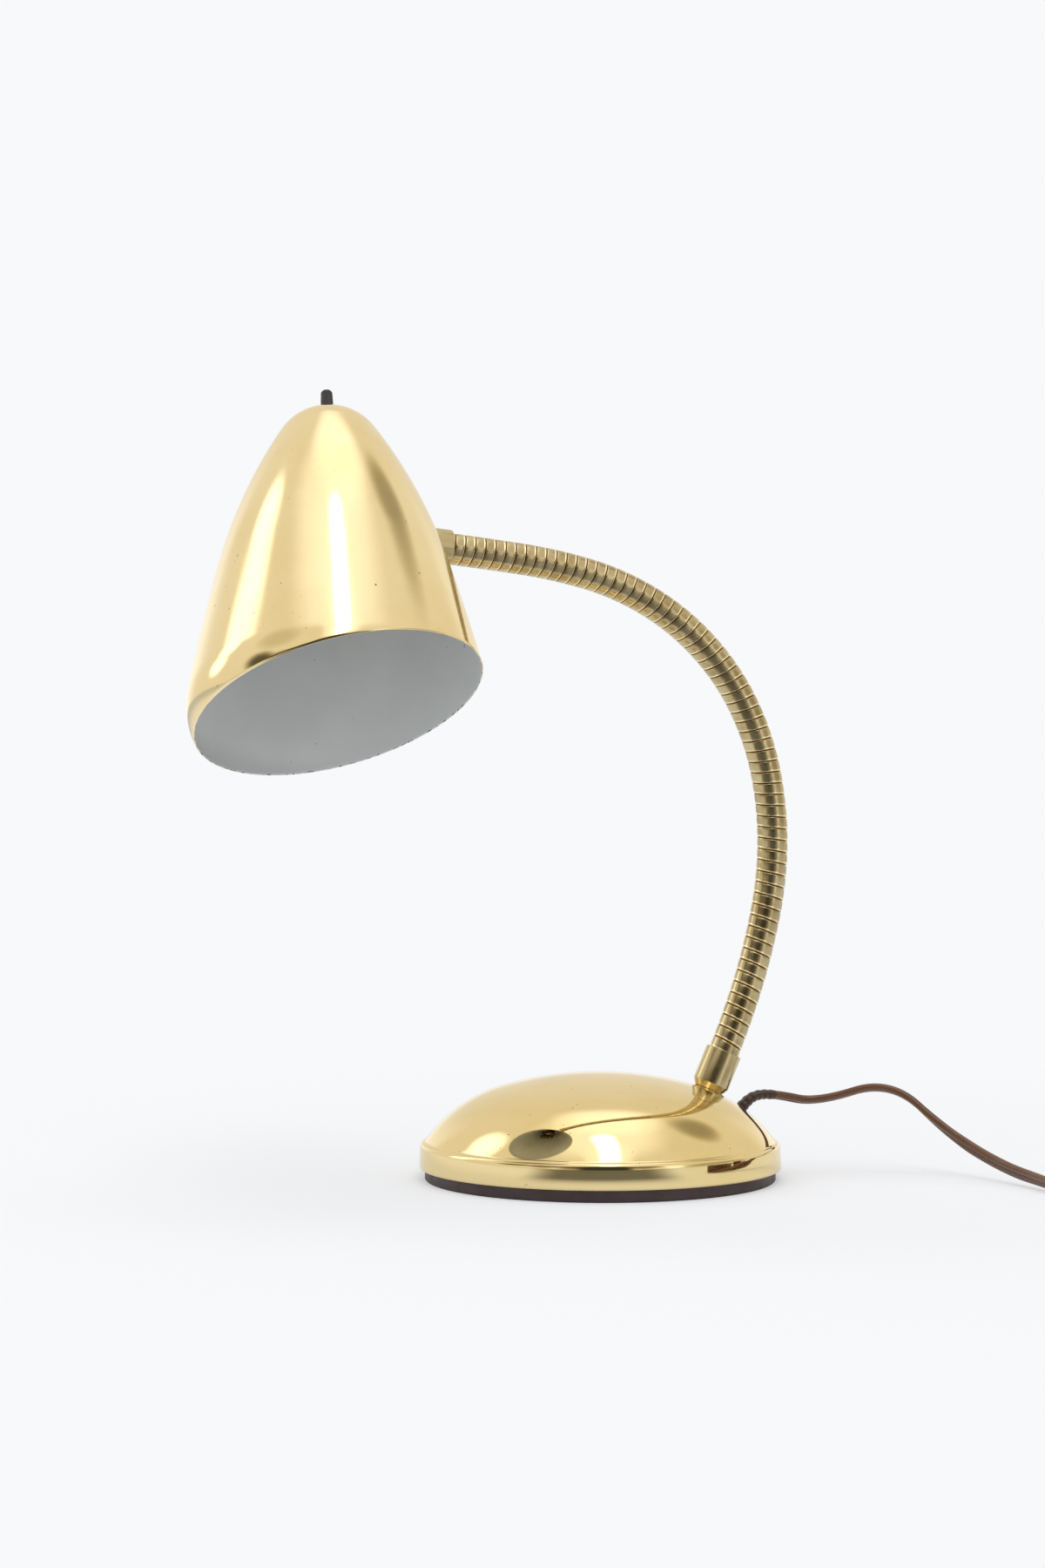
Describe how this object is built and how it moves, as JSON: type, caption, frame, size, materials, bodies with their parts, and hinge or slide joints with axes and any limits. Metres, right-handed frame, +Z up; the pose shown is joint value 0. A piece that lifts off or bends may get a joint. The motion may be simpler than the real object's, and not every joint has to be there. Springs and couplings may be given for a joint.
{
  "type": "gooseneck desk lamp",
  "caption": "Desk lamp: weighted domed base, flexible ridged gooseneck and bullet-shaped metal shade with a turn-knob switch at its pole.",
  "frame": {"origin": "centre of the base's underside, on the surface it stands on", "axes": "+Z up, +X to the lamp's rear where the neck stands and the cord leaves, so the shade hangs at -X"},
  "size_m": [0.4434, 0.3085, 0.3584],
  "materials": {
    "brass_sheet": "polished, lightly worn",
    "brass_turned": "satin",
    "brass_neck": "dull satin, darker in the grooves",
    "cast_iron": "rough cast",
    "brown_cup": "matte",
    "zinc_steel": "zinc plated",
    "lead_insulation": "matte",
    "brown_cord": "satin vinyl",
    "tie_black": "matte",
    "brown_plug": "satin",
    "contact_brass": "plain",
    "nickel": "nickel plated",
    "phenolic": "moulded",
    "black_knob": "moulded, ribbed"
  },
  "bodies": {
    "base": {"base_shell": "brass_sheet", "base_weight": "cast_iron", "base_cup": "brown_cup", "cup_screws": "zinc_steel", "slug_stud": "zinc_steel", "slug_washer": "zinc_steel", "slug_nut": "zinc_steel", "base_lead": "lead_insulation", "base_nipple": "zinc_steel", "base_washer": "zinc_steel", "base_nut": "zinc_steel", "lower_ferrule": "brass_turned", "neck_link_01": "brass_neck", "neck_leads_01": "lead_insulation", "cord_grommet": "brown_cord", "cord": "brown_cord", "cord_coil": "brown_cord", "cord_tie": "tie_black", "cord_tail": "brown_cord", "plug_body": "brown_plug", "plug_blades": "contact_brass"},
    "neck_02": {"neck_link_02": "brass_neck", "neck_leads_02": "lead_insulation"},
    "neck_03": {"neck_link_03": "brass_neck", "neck_leads_03": "lead_insulation"},
    "neck_04": {"neck_link_04": "brass_neck", "neck_leads_04": "lead_insulation"},
    "neck_05": {"neck_link_05": "brass_neck", "neck_leads_05": "lead_insulation"},
    "neck_06": {"neck_link_06": "brass_neck", "neck_leads_06": "lead_insulation"},
    "neck_07": {"neck_link_07": "brass_neck", "neck_leads_07": "lead_insulation"},
    "neck_08": {"neck_link_08": "brass_neck", "neck_leads_08": "lead_insulation"},
    "neck_09": {"neck_link_09": "brass_neck", "neck_leads_09": "lead_insulation"},
    "neck_10": {"neck_link_10": "brass_neck", "neck_leads_10": "lead_insulation", "upper_ferrule": "brass_turned", "upper_nipple": "zinc_steel", "upper_washer": "zinc_steel", "upper_nut": "zinc_steel"},
    "shade": {"shade_shell": "brass_sheet", "socket_strap": "zinc_steel", "pole_spacer": "zinc_steel", "switch_bushing": "nickel", "sleeve_nut": "nickel", "socket_cap": "phenolic", "socket_body": "phenolic", "screw_shell": "contact_brass", "center_contact": "contact_brass", "terminal_screws": "contact_brass", "socket_lead": "lead_insulation"},
    "switch": {"switch_shaft": "nickel", "switch_knob": "black_knob"}
  },
  "joints": [
    {"name": "neck_bend_02", "type": "hinge", "parent": "base", "child": "neck_02", "pos_m": [0.07395, 0, 0.08703], "axis": [0, -1, 0], "range_deg": [-24, 9]},
    {"name": "neck_sway_03", "type": "hinge", "parent": "neck_02", "child": "neck_03", "pos_m": [0.08282, 0, 0.11932], "axis": [0.9778, 0, -0.2097], "range_deg": [-18, 18]},
    {"name": "neck_bend_04", "type": "hinge", "parent": "neck_03", "child": "neck_04", "pos_m": [0.08652, 0, 0.15256], "axis": [0, -1, 0], "range_deg": [-24, 9]},
    {"name": "neck_sway_05", "type": "hinge", "parent": "neck_04", "child": "neck_05", "pos_m": [0.08308, 0, 0.18581], "axis": [0.9767, 0, 0.2147], "range_deg": [-18, 18]},
    {"name": "neck_bend_06", "type": "hinge", "parent": "neck_05", "child": "neck_06", "pos_m": [0.07144, 0, 0.21711], "axis": [0, -1, 0], "range_deg": [-24, 9]},
    {"name": "neck_sway_07", "type": "hinge", "parent": "neck_06", "child": "neck_07", "pos_m": [0.0514, 0, 0.2438], "axis": [0.7022, 0, 0.712], "range_deg": [-18, 18]},
    {"name": "neck_bend_08", "type": "hinge", "parent": "neck_07", "child": "neck_08", "pos_m": [0.0246, 0, 0.26371], "axis": [0, -1, 0], "range_deg": [-24, 9]},
    {"name": "neck_sway_09", "type": "hinge", "parent": "neck_08", "child": "neck_09", "pos_m": [-0.00652, 0, 0.27587], "axis": [0.2437, 0, 0.9699], "range_deg": [-18, 18]},
    {"name": "neck_bend_10", "type": "hinge", "parent": "neck_09", "child": "neck_10", "pos_m": [-0.03945, 0, 0.28189], "axis": [0, -1, 0], "range_deg": [-24, 9]},
    {"name": "shade_swivel", "type": "hinge", "parent": "neck_10", "child": "shade", "pos_m": [-0.1273, 0, 0.2908], "axis": [0.9952, 0, -0.0976], "range_deg": [-20, 70]},
    {"name": "switch_turn", "type": "hinge", "parent": "shade", "child": "switch", "pos_m": [-0.12178, 0.02637, 0.34708], "axis": [0.0885, 0.4226, 0.902], "continuous": true}
  ]
}
